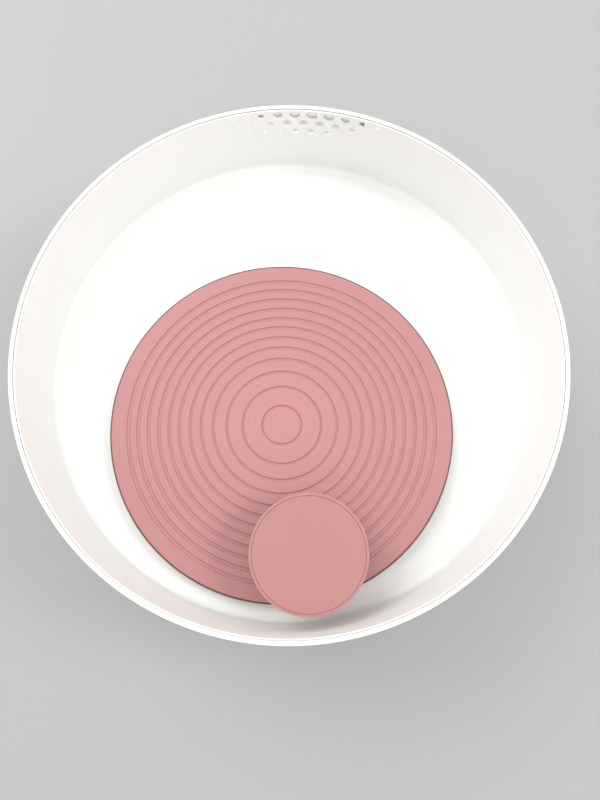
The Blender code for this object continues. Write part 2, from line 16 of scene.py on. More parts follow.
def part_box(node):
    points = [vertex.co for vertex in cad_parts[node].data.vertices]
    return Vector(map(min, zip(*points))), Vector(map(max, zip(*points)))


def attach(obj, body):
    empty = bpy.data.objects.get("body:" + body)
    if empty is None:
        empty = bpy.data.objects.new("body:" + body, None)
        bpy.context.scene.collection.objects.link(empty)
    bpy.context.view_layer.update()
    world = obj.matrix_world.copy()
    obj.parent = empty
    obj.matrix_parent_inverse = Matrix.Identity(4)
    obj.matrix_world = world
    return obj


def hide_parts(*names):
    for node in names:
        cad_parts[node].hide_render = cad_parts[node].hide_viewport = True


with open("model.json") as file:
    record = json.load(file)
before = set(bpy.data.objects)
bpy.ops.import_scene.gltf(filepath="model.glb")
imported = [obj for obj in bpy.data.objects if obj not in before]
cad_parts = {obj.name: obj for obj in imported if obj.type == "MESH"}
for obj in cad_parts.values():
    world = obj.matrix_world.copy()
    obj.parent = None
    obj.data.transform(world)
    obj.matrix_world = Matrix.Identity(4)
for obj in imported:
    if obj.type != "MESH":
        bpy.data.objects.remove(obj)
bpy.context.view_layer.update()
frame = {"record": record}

MM = 0.001
GAP = 0.3 * MM            # between two pieces that touch


def extent(node):
    """The x and y of a turned node's axis, its radius, and its lowest and highest z."""
    low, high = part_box(node)
    return (low.x + high.x) / 2, (low.y + high.y) / 2, (high.x - low.x) / 2, low.z, high.z


# Driving dimensions, read from the frame
_, _, RIM_RADIUS, RIM_FOOT, RIM_TOP = extent("rim_ring")
_, _, TUB_RADIUS, FLOOR_BOTTOM, LIP_TOP = extent("splash_basin")
_, WHEEL_Y, HEAD_RADIUS, SOCKET_FOOT, HEAD_TOP = extent("wheel_head")
KNOB_X, KNOB_Y, KNOB_RADIUS, KNOB_FOOT, KNOB_TOP = extent("knob_body")
_, _, SHELL_RADIUS, SHELL_FOOT, BOSS_TOP = extent("base_shell")
_, _, PLATE_RADIUS, PLATE_FOOT, PLATE_TOP = extent("base_plate")
AXIS = (0.0, 0.0)
WHEEL = (0.0, WHEEL_Y)
KNOB = (KNOB_X, KNOB_Y)

# Basin
WALL = 1.6 * MM
WALL_OUTER_TOP = TUB_RADIUS
WALL_OUTER_FOOT = TUB_RADIUS - 0.4 * MM
WALL_INNER_TOP = WALL_OUTER_TOP - WALL
WALL_INNER_FOOT = WALL_OUTER_FOOT - WALL
FLOOR_TOP = FLOOR_BOTTOM + 3.0 * MM
LIP = 0.7 * MM            # thin top edge of the wall, inside the rim ring
LIP_SINK = 0.9 * MM       # from the rim ring's top down to the lip's
LEDGE = LIP_TOP - 0.8 * MM
COLLAR_BORE = 15.5 * MM
COLLAR_RADIUS = 18.0 * MM
COLLAR_TOP = FLOOR_TOP + 3.0 * MM
BASIN_SCREW_ORBIT = 62.0 * MM

# Strainer holes: staggered rows whose sizes fade from the middle of the top one
HOLE_PITCH = 9.9 * MM     # along the top row
HOLE_ROWS, HOLES_EACH_WAY = 4, 5
HOLE_ROW_STEP = 7.0 * MM
HOLE_ROW_CLOSING = 0.025  # share of the pitch that each row down loses
HOLE_FIRST_ROW = 4.9 * MM  # below the top of the rim
HOLE_FIELD_TURN = math.radians(3.9)  # from +Y towards -X, to the middle of the field
HOLE_LARGEST = 6.4 * MM
HOLE_SMALLEST = 2.4 * MM  # what would be smaller is a raised pip
HOLE_SPREAD = 3.55        # in pitches, where the sizes reach nothing along a row
HOLE_ROW_LOSS = 0.3       # how much closer each row down is to nothing
HOLE_CHAMFER = 0.3 * MM
PIP_WIDTH, PIP_HEIGHT = 2.3 * MM, 0.75 * MM
PIP_FADE = 1.92           # pips end here

# Wheel head
HEAD_UNDERSIDE = HEAD_TOP - 4.0 * MM
HEAD_SKIRT = 3.0 * MM
HEAD_FOOT = FLOOR_TOP + 1.5 * MM
SOCKET_RADIUS = 13.0 * MM
GROOVE_RATIOS = (0.114, 0.228, 0.321, 0.400, 0.470, 0.534, 0.597, 0.655, 0.715, 0.776, 0.835, 0.893)
GROOVE_DEPTH = 0.75 * MM
GROOVE_INNER, GROOVE_OUTER = 1.3 * MM, 2.3 * MM  # widths of the first and the last groove
SPINDLE_RADIUS = 6.0 * MM
DRIVE_PIN_RADIUS = 2.0 * MM
DRIVE_PIN_RISE = 2.0 * MM  # of its middle above the socket's foot

# Screws
SCREW_BORE = 2.3 * MM     # for the base, foot, housing and basin screws
KNOB_BOLT_BORE = 3.3 * MM
KNOB_SHOULDER_BORE = 4.3 * MM
FOOT_ORBIT, PILLAR_ORBIT = 98 * MM, 100 * MM  # about the base's axis
HOUSING_ORBIT = 28 * MM   # about the wheel's axis

FINE, ROUND, SMALL, TINY = 288, 128, 64, 32  # steps round a piece

# Colours
WHITE = (0.81, 0.812, 0.787)
TRIM_WHITE = (0.85, 0.855, 0.845)
HEAD_PINK = (0.392, 0.177, 0.176)
# Painted shade: the knob's pink is the head's pink made a few per cent darker
SHADED_KNOB_PINK = (0.370, 0.168, 0.162)
# Lighter pink for rounded edges: partly rubbing, and on the knob's rim a painted highlight
WORN_AND_HIGHLIT_PINK = (0.60, 0.38, 0.37)
# Painted shade: a dark brown line on the wheel head's outermost millimetre, for the dark line at its rim
EDGE_SHADE_BROWN = (0.11, 0.055, 0.05)
BACKDROP = (0.345, 0.342, 0.336)

quarter_turns = [i * math.pi / 2 for i in range(4)]
eighths = [a + math.pi / 4 for a in quarter_turns]


# Shapes

def on_circle(orbit, angle):
    return orbit * math.cos(angle), orbit * math.sin(angle)


def round_corner(before, corner, after, radius, steps):
    """Points of an arc of that radius, tangent to the two sides that meet at the corner."""
    to_a, to_c = (before - corner).normalized(), (after - corner).normalized()
    half = to_a.angle(to_c) / 2.0
    reach = radius / math.tan(half)
    centre = corner + (to_a + to_c).normalized() * (radius / math.sin(half))
    first, last = corner + to_a * reach - centre, corner + to_c * reach - centre
    turn = first.angle_signed(last)
    arc = [centre + Matrix.Rotation(-turn * i / steps, 2) @ first for i in range(steps + 1)]
    edge = 0.2 * MM       # a point beside each end of the arc keeps the flats next to it flat
    if (before - corner).length > 2 * reach + 3 * edge:
        arc.insert(0, corner + to_a * (reach + edge))
    if (after - corner).length > 2 * reach + 3 * edge:
        arc.append(corner + to_c * (reach + edge))
    return arc


def outline(points, steps=5, closed=True):
    """Turns corners given as (radius, z) or (radius, z, rounding) into plain (radius, z) points."""
    flat = [Vector(p[:2]) for p in points]
    made = []
    for i, p in enumerate(points):
        at_end = not closed and i in (0, len(points) - 1)
        if len(p) == 2 or at_end:
            made.append(flat[i])
            continue
        made.extend(round_corner(flat[i - 1], flat[i], flat[(i + 1) % len(points)], p[2], steps))
    return made


def ring_of(inner, outer, low, high, rounding=0.2 * MM):
    corners = [(outer, high), (outer, low), (inner, low), (inner, high)]
    return outline([(*c, rounding) for c in corners], 3)


def new_piece(name, mesh, at=AXIS):
    made = bpy.data.objects.new(name, mesh)
    bpy.context.scene.collection.objects.link(made)
    made.location = (at[0], at[1], 0.0)
    return made


def settle(made):
    """Applies a piece's modifiers and shades it smooth up to its edges."""
    bpy.context.view_layer.update()
    graph = bpy.context.evaluated_depsgraph_get()
    mesh = bpy.data.meshes.new_from_object(made.evaluated_get(graph))
    mesh.name = made.name
    made.modifiers.clear()
    made.data = mesh
    mesh.shade_smooth()
    mesh.set_sharp_from_angle(angle=math.radians(32))
    return made


def turned(name, profile, at=AXIS, steps=ROUND, ring=True):
    """A solid turned about Z. Its profile runs down the outer side, then up the inner side of a ring;
    the profile of a piece with no bore starts and ends on the axis."""
    mesh = bpy.data.meshes.new(name)
    shape = bmesh.new()
    verts = [shape.verts.new((r, 0.0, z)) for r, z in profile]
    pairs = list(zip(verts, verts[1:]))
    if ring:
        pairs.append((verts[-1], verts[0]))
    for pair in pairs:
        shape.edges.new(pair)
    shape.to_mesh(mesh)
    shape.free()
    made = new_piece(name, mesh, at)
    screw = made.modifiers.new("turn", "SCREW")
    screw.steps = steps
    screw.render_steps = steps
    screw.use_merge_vertices = True
    screw.merge_threshold = 0.002 * MM
    return settle(made)


def add_cylinder(shape, radius, low, high, x=0.0, y=0.0, sides=TINY):
    place = Matrix.Translation((x, y, (low + high) / 2))
    bmesh.ops.create_cone(shape, cap_ends=True, segments=sides, radius1=radius, radius2=radius,
                          depth=high - low, matrix=place)


def add_radial(shape, radius, near, far, angle, z, sides=TINY, far_radius=None):
    """A cylinder or cone along a radius, from near to far of the axis."""
    lie = Matrix.Rotation(math.pi / 2, 4, "Y")
    place = Matrix.Rotation(angle, 4, "Z") @ Matrix.Translation(((near + far) / 2, 0.0, z)) @ lie
    bmesh.ops.create_cone(shape, cap_ends=True, segments=sides, radius1=radius,
                          radius2=radius if far_radius is None else far_radius,
                          depth=far - near, matrix=place)


def add_box(shape, size, centre, turn=0.0):
    place = Matrix.Translation(centre) @ Matrix.Rotation(turn, 4, "Z") @ Matrix.Diagonal((*size, 1.0))
    bmesh.ops.create_cube(shape, size=1.0, matrix=place)


def combine(made, shape, operation="DIFFERENCE"):
    """Cuts the shape from a piece, or joins it on."""
    mesh = bpy.data.meshes.new("tool")
    shape.to_mesh(mesh)
    shape.free()
    tool = bpy.data.objects.new("tool", mesh)
    bpy.context.scene.collection.objects.link(tool)
    tool.location = made.location
    step = made.modifiers.new("combine", "BOOLEAN")
    step.operation = operation
    step.solver = "EXACT"
    step.object = tool
    step.use_self = operation == "UNION"
    settle(made)
    bpy.data.objects.remove(tool)
    return made


# Finishes

class Finish:
    """A procedural material, grown node by node."""

    def __init__(self, name, roughness, metallic=0.0, ior=1.46):
        self.name = name
        self.material = bpy.data.materials.new(name + "_finish")
        self.material.use_nodes = True
        self.tree = self.material.node_tree
        self.shader = self.tree.nodes["Principled BSDF"]
        self.shader.inputs["Metallic"].default_value = metallic
        self.shader.inputs["IOR"].default_value = ior
        self.shader.inputs["Roughness"].default_value = roughness
        self.place = self.add("ShaderNodeTexCoord").outputs["Object"]
        self.height = None

    def add(self, kind, **settings):
        node = self.tree.nodes.new(kind)
        for key, value in settings.items():
            setattr(node, key, value)
        return node

    def feed(self, socket, value):
        if isinstance(value, bpy.types.NodeSocket):
            self.tree.links.new(value, socket)
        else:
            socket.default_value = value

    def maths(self, operation, *values):
        node = self.add("ShaderNodeMath", operation=operation)
        for socket, value in zip(node.inputs, values):
            self.feed(socket, value)
        return node.outputs[0]

    def noise(self, size, detail=3.0, roughness=0.5, stretch=(1.0, 1.0, 1.0), place=None):
        """Noise between about 0 and 1 with features of that size, longer along an axis by its stretch."""
        mapping = self.add("ShaderNodeMapping")
        self.feed(mapping.inputs["Vector"], place or self.place)
        mapping.inputs["Scale"].default_value = [1.0 / s for s in stretch]
        node = self.add("ShaderNodeTexNoise")
        self.feed(node.inputs["Vector"], mapping.outputs[0])
        node.inputs["Scale"].default_value = 1.0 / size
        node.inputs["Detail"].default_value = detail
        node.inputs["Roughness"].default_value = roughness
        return node.outputs["Fac"]

    def radius(self):
        """Distance from the piece's own Z axis."""
        parts = self.add("ShaderNodeSeparateXYZ")
        self.feed(parts.inputs[0], self.place)
        square = self.maths("ADD", self.maths("MULTIPLY", parts.outputs[0], parts.outputs[0]),
                            self.maths("MULTIPLY", parts.outputs[1], parts.outputs[1]))
        return self.maths("SQRT", square)

    def rings(self, size):
        """Fine rings about the axis, uneven in width and strength, as left by a tool or a wiping hand."""
        across = self.add("ShaderNodeCombineXYZ")
        wander = self.maths("MULTIPLY", self.noise(30 * MM, 1.0), 2.0 * size)
        self.feed(across.inputs[0], self.maths("ADD", self.radius(), wander))
        return self.noise(size, 3.0, 0.6, place=across.outputs[0])

    def ramp(self, value, low, high, out_low=0.0, out_high=1.0):
        node = self.add("ShaderNodeMapRange", clamp=True)
        for socket, number in zip(node.inputs, (value, low, high, out_low, out_high)):
            self.feed(socket, number)
        return node.outputs[0]

    def edges(self):
        """1 on rounded edges, whose surface leans about half way between level and upright."""
        parts = self.add("ShaderNodeSeparateXYZ")
        self.feed(parts.inputs[0], self.add("ShaderNodeNewGeometry").outputs["Normal"])
        level = self.maths("MULTIPLY", parts.outputs[2], parts.outputs[2])
        lean = self.maths("MULTIPLY", level, self.maths("SUBTRACT", 1.0, level))
        return self.ramp(lean, 0.12, 0.22)

    def mix(self, share, first, second):
        node = self.add("ShaderNodeMix", data_type="RGBA")
        self.feed(node.inputs[0], share)
        for socket, colour in ((node.inputs[6], first), (node.inputs[7], second)):
            self.feed(socket, colour if isinstance(colour, bpy.types.NodeSocket) else (*colour, 1.0))
        return node.outputs[2]

    def colour(self, value):
        self.feed(self.shader.inputs["Base Color"], value)

    def roughness(self, value, low, high):
        self.feed(self.shader.inputs["Roughness"], self.ramp(value, 0.3, 0.7, low, high))

    def bump(self, value, height, strength=1.0):
        """Adds relief of that height in metres."""
        node = self.add("ShaderNodeBump")
        node.inputs["Strength"].default_value = strength
        node.inputs["Distance"].default_value = height
        self.feed(node.inputs["Height"], value)
        if self.height is not None:
            self.feed(node.inputs["Normal"], self.height)
        self.height = node.outputs[0]
        self.feed(self.shader.inputs["Normal"], self.height)


def tint(colour, factor):
    return tuple(min(1.0, c * factor) for c in colour)


def moulded_plastic(name, colour, roughness, wear_and_highlight=0.35, clouds=0.03, specks=0.03, worn_and_highlit=None):
    """Injection-moulded plastic: soft clouds in its colour, fine specks, a faintly uneven gloss, and rounded
    edges lighter, partly rubbed and partly a painted highlight."""
    made = Finish(name, roughness)
    cloud = made.mix(made.noise(45 * MM, 4.0), tint(colour, 1 - clouds), tint(colour, 1 + clouds))
    speck = made.ramp(made.noise(1.1 * MM, 2.0), 0.62, 0.72)
    speckled = made.mix(made.maths("MULTIPLY", speck, specks * 6), cloud, tint(colour, 0.82))
    # Rounded edges painted lighter: partly rubbing, partly a painted highlight
    rubbed_and_highlit = made.maths("MULTIPLY", made.edges(), made.noise(9 * MM, 3.0))
    worn_and_highlit = worn_and_highlit or tint(colour, 1.12)
    made.colour(made.mix(made.maths("MULTIPLY", rubbed_and_highlit, wear_and_highlight), speckled, worn_and_highlit))
    made.roughness(made.noise(14 * MM, 4.0, 0.6), roughness - 0.05, roughness + 0.07)
    made.bump(made.noise(5 * MM, 2.0), 0.02 * MM, 0.6)
    made.bump(made.noise(0.5 * MM, 2.0), 0.006 * MM, 0.5)
    return made


def turned_plastic(name, colour, roughness):
    """The wheel head's plastic: moulded, with painted light making it paler towards the middle, fine rings
    from wiping it while it turns, edges partly rubbed and partly a painted highlight, and painted shade on
    its outer edge."""
    made = Finish(name, roughness)
    cloud = made.mix(made.noise(60 * MM, 4.0), tint(colour, 0.99), tint(colour, 1.07))
    # Painted light: the head is painted up to 15% paler towards its middle, as a pool of light
    cloud = made.mix(made.ramp(made.radius(), 15 * MM, 75 * MM), tint(colour, 1.15), cloud)
    ring = made.rings(0.9 * MM)
    lined = made.mix(made.ramp(ring, 0.35, 0.7), cloud, tint(colour, 0.955))
    wiped = made.rings(7 * MM)
    wiped = made.mix(made.ramp(wiped, 0.3, 0.75, 0.0, 0.35), lined, tint(colour, 1.05))
    speck = made.ramp(made.noise(0.9 * MM, 2.0), 0.64, 0.74, 0.0, 0.2)
    speckled = made.mix(speck, wiped, tint(colour, 0.8))
    # Rounded edges painted lighter: partly rubbing, partly a painted highlight
    rubbed_and_highlit = made.maths("MULTIPLY", made.edges(), made.noise(6 * MM, 3.0))
    rubbed_and_highlit = made.mix(made.maths("MULTIPLY", rubbed_and_highlit, 0.2), speckled, WORN_AND_HIGHLIT_PINK)
    # Painted shade: the outermost millimetre of the head is painted dark brown for the dark line at its rim
    edge_shade = made.ramp(made.radius(), HEAD_RADIUS - 1.3 * MM, HEAD_RADIUS - 1.0 * MM)
    made.colour(made.mix(edge_shade, rubbed_and_highlit, EDGE_SHADE_BROWN))
    made.roughness(ring, roughness - 0.05, roughness + 0.08)
    made.bump(made.noise(0.5 * MM, 2.0), 0.008 * MM, 0.5)
    return made


def metal(name, colour, roughness, grain, relief, stretch=(1.0, 1.0, 1.0), spots=None):
    made = Finish(name, roughness, metallic=1.0)
    base = made.mix(made.noise(8 * MM, 4.0), tint(colour, 0.9), tint(colour, 1.06))
    if spots:
        base = made.mix(made.ramp(made.noise(2.2 * MM, 4.0, 0.65), 0.58, 0.72, 0.0, 0.6), base, spots)
    made.colour(made.mix(made.maths("MULTIPLY", made.edges(), 0.5), base, tint(colour, 1.3)))
    streaks = made.noise(grain, 3.0, 0.6, stretch)
    made.roughness(streaks, roughness - 0.07, roughness + 0.12)
    made.bump(streaks, relief, 0.7)
    return made


def rubber(name, colour):
    made = Finish(name, 0.75)
    base = made.mix(made.noise(10 * MM, 4.0), tint(colour, 0.8), tint(colour, 1.25))
    dusty = made.maths("MULTIPLY", made.edges(), made.noise(3 * MM, 4.0))
    made.colour(made.mix(made.maths("MULTIPLY", dusty, 0.6), base, (0.16, 0.155, 0.15)))
    made.roughness(made.noise(4 * MM, 3.0), 0.66, 0.85)
    made.bump(made.noise(0.6 * MM, 3.0), 0.03 * MM, 0.8)
    return made


def make_finishes():
    bright = (0.62, 0.62, 0.63)
    made = [
        moulded_plastic("white_plastic", WHITE, 0.34, clouds=0.012, specks=0.012),
        moulded_plastic("white_trim", TRIM_WHITE, 0.26, clouds=0.012, specks=0.01),
        # On the knob the lighter rim is mostly a painted highlight
        moulded_plastic("pink_plastic", SHADED_KNOB_PINK, 0.42, wear_and_highlight=1.2, worn_and_highlit=WORN_AND_HIGHLIT_PINK),
        turned_plastic("pink_plastic_turned", HEAD_PINK, 0.46),
        moulded_plastic("acetal", (0.74, 0.73, 0.68), 0.38),
        rubber("rubber", (0.028, 0.028, 0.03)),
        metal("bright_steel", bright, 0.27, 1.2 * MM, 0.012 * MM, (1.0, 1.0, 0.12)),
        metal("cast_iron", (0.13, 0.13, 0.14), 0.6, 1.5 * MM, 0.12 * MM, spots=(0.09, 0.075, 0.065)),
        metal("cast_aluminium", (0.60, 0.61, 0.62), 0.45, 1.0 * MM, 0.06 * MM),
    ]
    return {m.name: m.material for m in made}


finishes = make_finishes()
body_of_node = {n: body for body, nodes in frame["record"]["behaviour"]["bodies"].items() for n in nodes}


def stand_for(piece, node, finish):
    """Dresses a piece and puts it in a CAD node's place."""
    piece.data.materials.clear()
    piece.data.materials.append(finishes[finish])
    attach(piece, body_of_node[node])
    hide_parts(node)
    return piece


# Basin and rim ring

def strainer_holes():
    """(angle, height, radius) of each hole, and (angle, height) of each pip."""
    holes, pips = [], []
    for row in range(HOLE_ROWS):
        shift = 0.5 * (row % 2)
        angle_step = HOLE_PITCH * (1 - HOLE_ROW_CLOSING * row) / WALL_INNER_TOP
        z = RIM_TOP - HOLE_FIRST_ROW - row * HOLE_ROW_STEP
        for i in range(-HOLES_EACH_WAY, HOLES_EACH_WAY + 1):
            along = i + shift
            fade = (along / HOLE_SPREAD) ** 2 + HOLE_ROW_LOSS * row
            width = HOLE_LARGEST * math.sqrt(max(0.0, 1 - fade))
            way = math.pi / 2 + HOLE_FIELD_TURN - along * angle_step
            if width >= HOLE_SMALLEST:
                holes.append((way, z, width / 2))
            elif fade < PIP_FADE:
                pips.append((way, z))
    return holes, pips


def make_basin():
    """The tub with its strainer holes, and the rim ring over its ledge."""
    lip, ledge = RIM_TOP - LIP_SINK, LEDGE - 0.5 * MM
    profile = outline([
        (WALL_INNER_TOP + LIP, lip, 0.2 * MM),
        (WALL_INNER_TOP + LIP, ledge),
        (WALL_OUTER_TOP, ledge),
        (WALL_OUTER_FOOT, FLOOR_BOTTOM, 6 * MM),
        (0, FLOOR_BOTTOM),
        (0, FLOOR_TOP),
        (WALL_INNER_FOOT, FLOOR_TOP, 4 * MM),
        (WALL_INNER_TOP, lip, 0.3 * MM),
    ], 8)
    floor_edge = next(i for i, p in enumerate(profile) if p[0] < 1e-6) + 1
    tub = turned("splash_basin_fine", profile[floor_edge:] + profile[:floor_edge], steps=FINE, ring=False)
    collar = bmesh.new()
    add_cylinder(collar, COLLAR_RADIUS, FLOOR_TOP - MM, COLLAR_TOP, *WHEEL, sides=SMALL)
    combine(tub, collar, "UNION")
    cuts = bmesh.new()
    add_cylinder(cuts, COLLAR_BORE, FLOOR_BOTTOM - MM, COLLAR_TOP + MM, *WHEEL, sides=SMALL)
    for a in eighths:
        x, y = on_circle(BASIN_SCREW_ORBIT, a)
        add_cylinder(cuts, SCREW_BORE, FLOOR_BOTTOM - MM, FLOOR_TOP + MM, x, y + WHEEL_Y)
    holes, pips = strainer_holes()
    for way, z, radius in holes:
        add_radial(cuts, radius, WALL_INNER_FOOT - 2 * MM, WALL_OUTER_TOP + 2 * MM, way, z)
    combine(tub, cuts)
    mouths = bmesh.new()
    before, surface = 0.4 * MM, WALL_INNER_TOP
    for way, z, radius in holes:
        add_radial(mouths, radius + HOLE_CHAMFER + before, surface - before, surface + HOLE_CHAMFER, way, z,
                   far_radius=radius)
    combine(tub, mouths)
    beads = bmesh.new()      # closed shells, half sunk in the wall
    for way, z in pips:
        place = Matrix.Rotation(way, 4, "Z") @ Matrix.Translation((surface, 0.0, z))
        place = place @ Matrix.Diagonal((2 * PIP_HEIGHT / PIP_WIDTH, 1.0, 1.0, 1.0))
        bmesh.ops.create_uvsphere(beads, u_segments=16, v_segments=10, radius=PIP_WIDTH / 2, matrix=place)
    beads.from_mesh(tub.data)
    beads.to_mesh(tub.data)
    beads.free()
    settle(tub)
    stand_for(tub, "splash_basin", "white_plastic")

    ring_in, skirt_in = WALL_INNER_TOP + LIP + GAP, WALL_OUTER_TOP + GAP
    rim = turned("rim_ring_fine", outline([
        (RIM_RADIUS, RIM_TOP, 0.8 * MM),
        (RIM_RADIUS, RIM_FOOT, 0.6 * MM),
        (skirt_in, RIM_FOOT, 0.3 * MM),
        (skirt_in, LEDGE + GAP),
        (ring_in, LEDGE + GAP),
        (ring_in, RIM_TOP, 0.4 * MM),
    ], 6), steps=FINE)
    stand_for(rim, "rim_ring", "white_trim")


# Wheel head and what turns with it

def groove(middle, width):
    """Corners of a groove with sloping sides and a flat bottom."""
    slope = 0.4 * MM
    low = HEAD_TOP - GROOVE_DEPTH
    return [(middle - width / 2, HEAD_TOP, 0.12 * MM), (middle - width / 2 + slope, low, 0.15 * MM),
            (middle + width / 2 - slope, low, 0.15 * MM), (middle + width / 2, HEAD_TOP, 0.12 * MM)]


def make_wheel_head():
    top = [(0.0, HEAD_TOP)]
    first, last = GROOVE_RATIOS[0], GROOVE_RATIOS[-1]
    for ratio in GROOVE_RATIOS:
        share = (ratio - first) / (last - first)
        top += groove(ratio * HEAD_RADIUS, GROOVE_INNER + share * (GROOVE_OUTER - GROOVE_INNER))
    bore, bore_top = SPINDLE_RADIUS + GAP, HEAD_TOP - 2.2 * MM
    skirt = HEAD_RADIUS - HEAD_SKIRT
    profile = top + [
        (HEAD_RADIUS, HEAD_TOP, 1.2 * MM), (HEAD_RADIUS, HEAD_FOOT, 0.8 * MM), (skirt, HEAD_FOOT, 0.5 * MM),
        (skirt, HEAD_UNDERSIDE, 0.8 * MM), (SOCKET_RADIUS, HEAD_UNDERSIDE, 1.0 * MM),
        (SOCKET_RADIUS, SOCKET_FOOT, 0.5 * MM), (bore, SOCKET_FOOT, 0.4 * MM),
        (bore, bore_top), (0.0, bore_top),
    ]
    head = turned("wheel_head_fine", outline(profile, 2, closed=False), WHEEL, FINE, ring=False)
    cuts = bmesh.new()
    add_box(cuts, (40 * MM, 4.6 * MM, 6 * MM), (0.0, 0.0, SOCKET_FOOT + 1.5 * MM))
    add_cylinder(cuts, KNOB_BOLT_BORE, HEAD_UNDERSIDE - MM, HEAD_TOP + MM, KNOB_X, KNOB_Y - WHEEL_Y)
    combine(head, cuts)
    stand_for(head, "wheel_head", "pink_plastic_turned")


# Knob, on its shoulder screw

def make_knob():
    lip, seat = 1.4 * MM, KNOB_TOP - 2.0 * MM
    shoulder = KNOB_TOP - 7.3 * MM - GAP
    bore = SPINDLE_RADIUS + GAP
    body = turned("knob_body_fine", outline([
        (KNOB_RADIUS, KNOB_TOP, 0.5 * MM), (KNOB_RADIUS, KNOB_TOP - 7.5 * MM, 2.6 * MM),
        (12 * MM, KNOB_TOP - 9.5 * MM, 5 * MM), (10.5 * MM, KNOB_FOOT, 1 * MM), (bore, KNOB_FOOT, 0.3 * MM),
        (bore, shoulder), (8 * MM, shoulder), (8 * MM, seat), (KNOB_RADIUS - lip, seat),
        (KNOB_RADIUS - lip, KNOB_TOP, 0.15 * MM),
    ], 8), KNOB, ROUND)
    stand_for(body, "knob_body", "pink_plastic")
    edge = KNOB_RADIUS - lip - 0.15 * MM
    cap = turned("knob_cap_fine", outline([
        (0, KNOB_TOP - 0.1 * MM), (edge, KNOB_TOP - 0.1 * MM, 0.15 * MM), (edge, seat + GAP, 0.2 * MM),
        (0, seat + GAP),
    ], 5, closed=False), KNOB, ROUND, ring=False)
    stand_for(cap, "knob_cap", "pink_plastic")


# Base

def make_base():
    top, wall = BOSS_TOP - 2.2 * MM, 3.0 * MM
    shoulder = SHELL_RADIUS - 12 * MM
    profile = outline([
        (shoulder, top, 9 * MM), (SHELL_RADIUS, SHELL_FOOT + 10 * MM, 14 * MM),
        (SHELL_RADIUS, SHELL_FOOT, 1.2 * MM), (SHELL_RADIUS - wall, SHELL_FOOT, 0.6 * MM),
        (SHELL_RADIUS - wall, SHELL_FOOT + 10 * MM, 14 * MM), (shoulder - wall, top - wall, 6 * MM),
        (0, top - wall), (0, top),
    ], 8)
    shell = turned("base_shell_fine", profile[-1:] + profile[:-1], steps=FINE, ring=False)
    bosses_at = [on_circle(BASIN_SCREW_ORBIT, a) for a in eighths]
    bosses = bmesh.new()
    for a in eighths:
        add_cylinder(bosses, 6 * MM, PLATE_TOP + GAP, top - MM, *on_circle(PILLAR_ORBIT, a))
    for x, y in bosses_at:
        add_cylinder(bosses, 6 * MM, top - MM, BOSS_TOP, x, y + WHEEL_Y)
    combine(shell, bosses, "UNION")
    holes = bmesh.new()
    add_cylinder(holes, 22 * MM, top - 6 * MM, top + 6 * MM, *WHEEL, sides=SMALL)
    for x, y in bosses_at:
        add_cylinder(holes, SCREW_BORE, top - 6 * MM, top + 6 * MM, x, y + WHEEL_Y)
    for a in eighths:
        add_cylinder(holes, SCREW_BORE, PLATE_TOP - MM, 26 * MM, *on_circle(PILLAR_ORBIT, a))
    combine(shell, holes)
    stand_for(shell, "base_shell", "white_plastic")

    plate = turned("base_plate_fine", outline([
        (0, PLATE_TOP), (PLATE_RADIUS, PLATE_TOP, 0.8 * MM), (PLATE_RADIUS, PLATE_FOOT, 1.0 * MM),
        *plate_groove(82 * MM), *plate_groove(54 * MM), (0, PLATE_FOOT),
    ], 4, closed=False), steps=FINE, ring=False)
    pillar_places = [on_circle(PILLAR_ORBIT, a) for a in eighths]
    foot_places = [on_circle(FOOT_ORBIT, a) for a in quarter_turns]
    housing_places = [(x, y + WHEEL_Y) for x, y in (on_circle(HOUSING_ORBIT, a) for a in eighths)]
    holes = bmesh.new()
    for x, y in pillar_places + foot_places + housing_places:
        add_cylinder(holes, SCREW_BORE, PLATE_FOOT - MM, PLATE_TOP + MM, x, y)
    combine(plate, holes)
    counterbores = bmesh.new()
    for x, y in pillar_places:
        add_cylinder(counterbores, 4.5 * MM, PLATE_FOOT - MM, PLATE_FOOT + 2.4 * MM, x, y)
    combine(plate, counterbores)
    stand_for(plate, "base_plate", "white_plastic")

    for number in range(1, 5):
        make_foot(f"rubber_foot_{number}")
    make_ring("basin_gasket", "rubber", 96 * MM, 0.4 * MM, FINE)


def plate_groove(middle):
    """Corners of a shallow moulded groove in the plate's underside, from its outer to its inner side."""
    deep = PLATE_FOOT + 0.6 * MM
    return [(middle + 1.5 * MM, PLATE_FOOT, 0.2 * MM), (middle + 1.2 * MM, deep, 0.2 * MM),
            (middle - 1.2 * MM, deep, 0.2 * MM), (middle - 1.5 * MM, PLATE_FOOT, 0.2 * MM)]


def make_foot(node):
    """A rubber foot with three grip grooves in its tread and a recess for its screw."""
    x, y, radius, low, high = extent(node)
    tread = []
    for middle in (10.0 * MM, 8.7 * MM, 7.4 * MM):
        tread += [(middle + 0.3 * MM, low), (middle + 0.2 * MM, low + 0.4 * MM),
                  (middle - 0.2 * MM, low + 0.4 * MM), (middle - 0.3 * MM, low)]
    foot = turned(node + "_fine", outline([
        (radius - MM, high, 0.6 * MM), (radius, low, 1.0 * MM), *tread, (6 * MM, low, 0.4 * MM),
        (5 * MM, low + 3.7 * MM), (SCREW_BORE, low + 3.7 * MM), (SCREW_BORE, high),
    ], 4), (x, y), SMALL)
    stand_for(foot, node, "rubber")


def make_ring(node, finish, bore, rounding=0.2 * MM, steps=SMALL):
    """A plain turned ring with rounded edges, such as a washer, spacer or gasket."""
    x, y, radius, low, high = extent(node)
    ring = turned(node + "_fine", ring_of(bore, radius, low, high, rounding), (x, y), steps)
    return stand_for(ring, node, finish)


# Screws and nuts

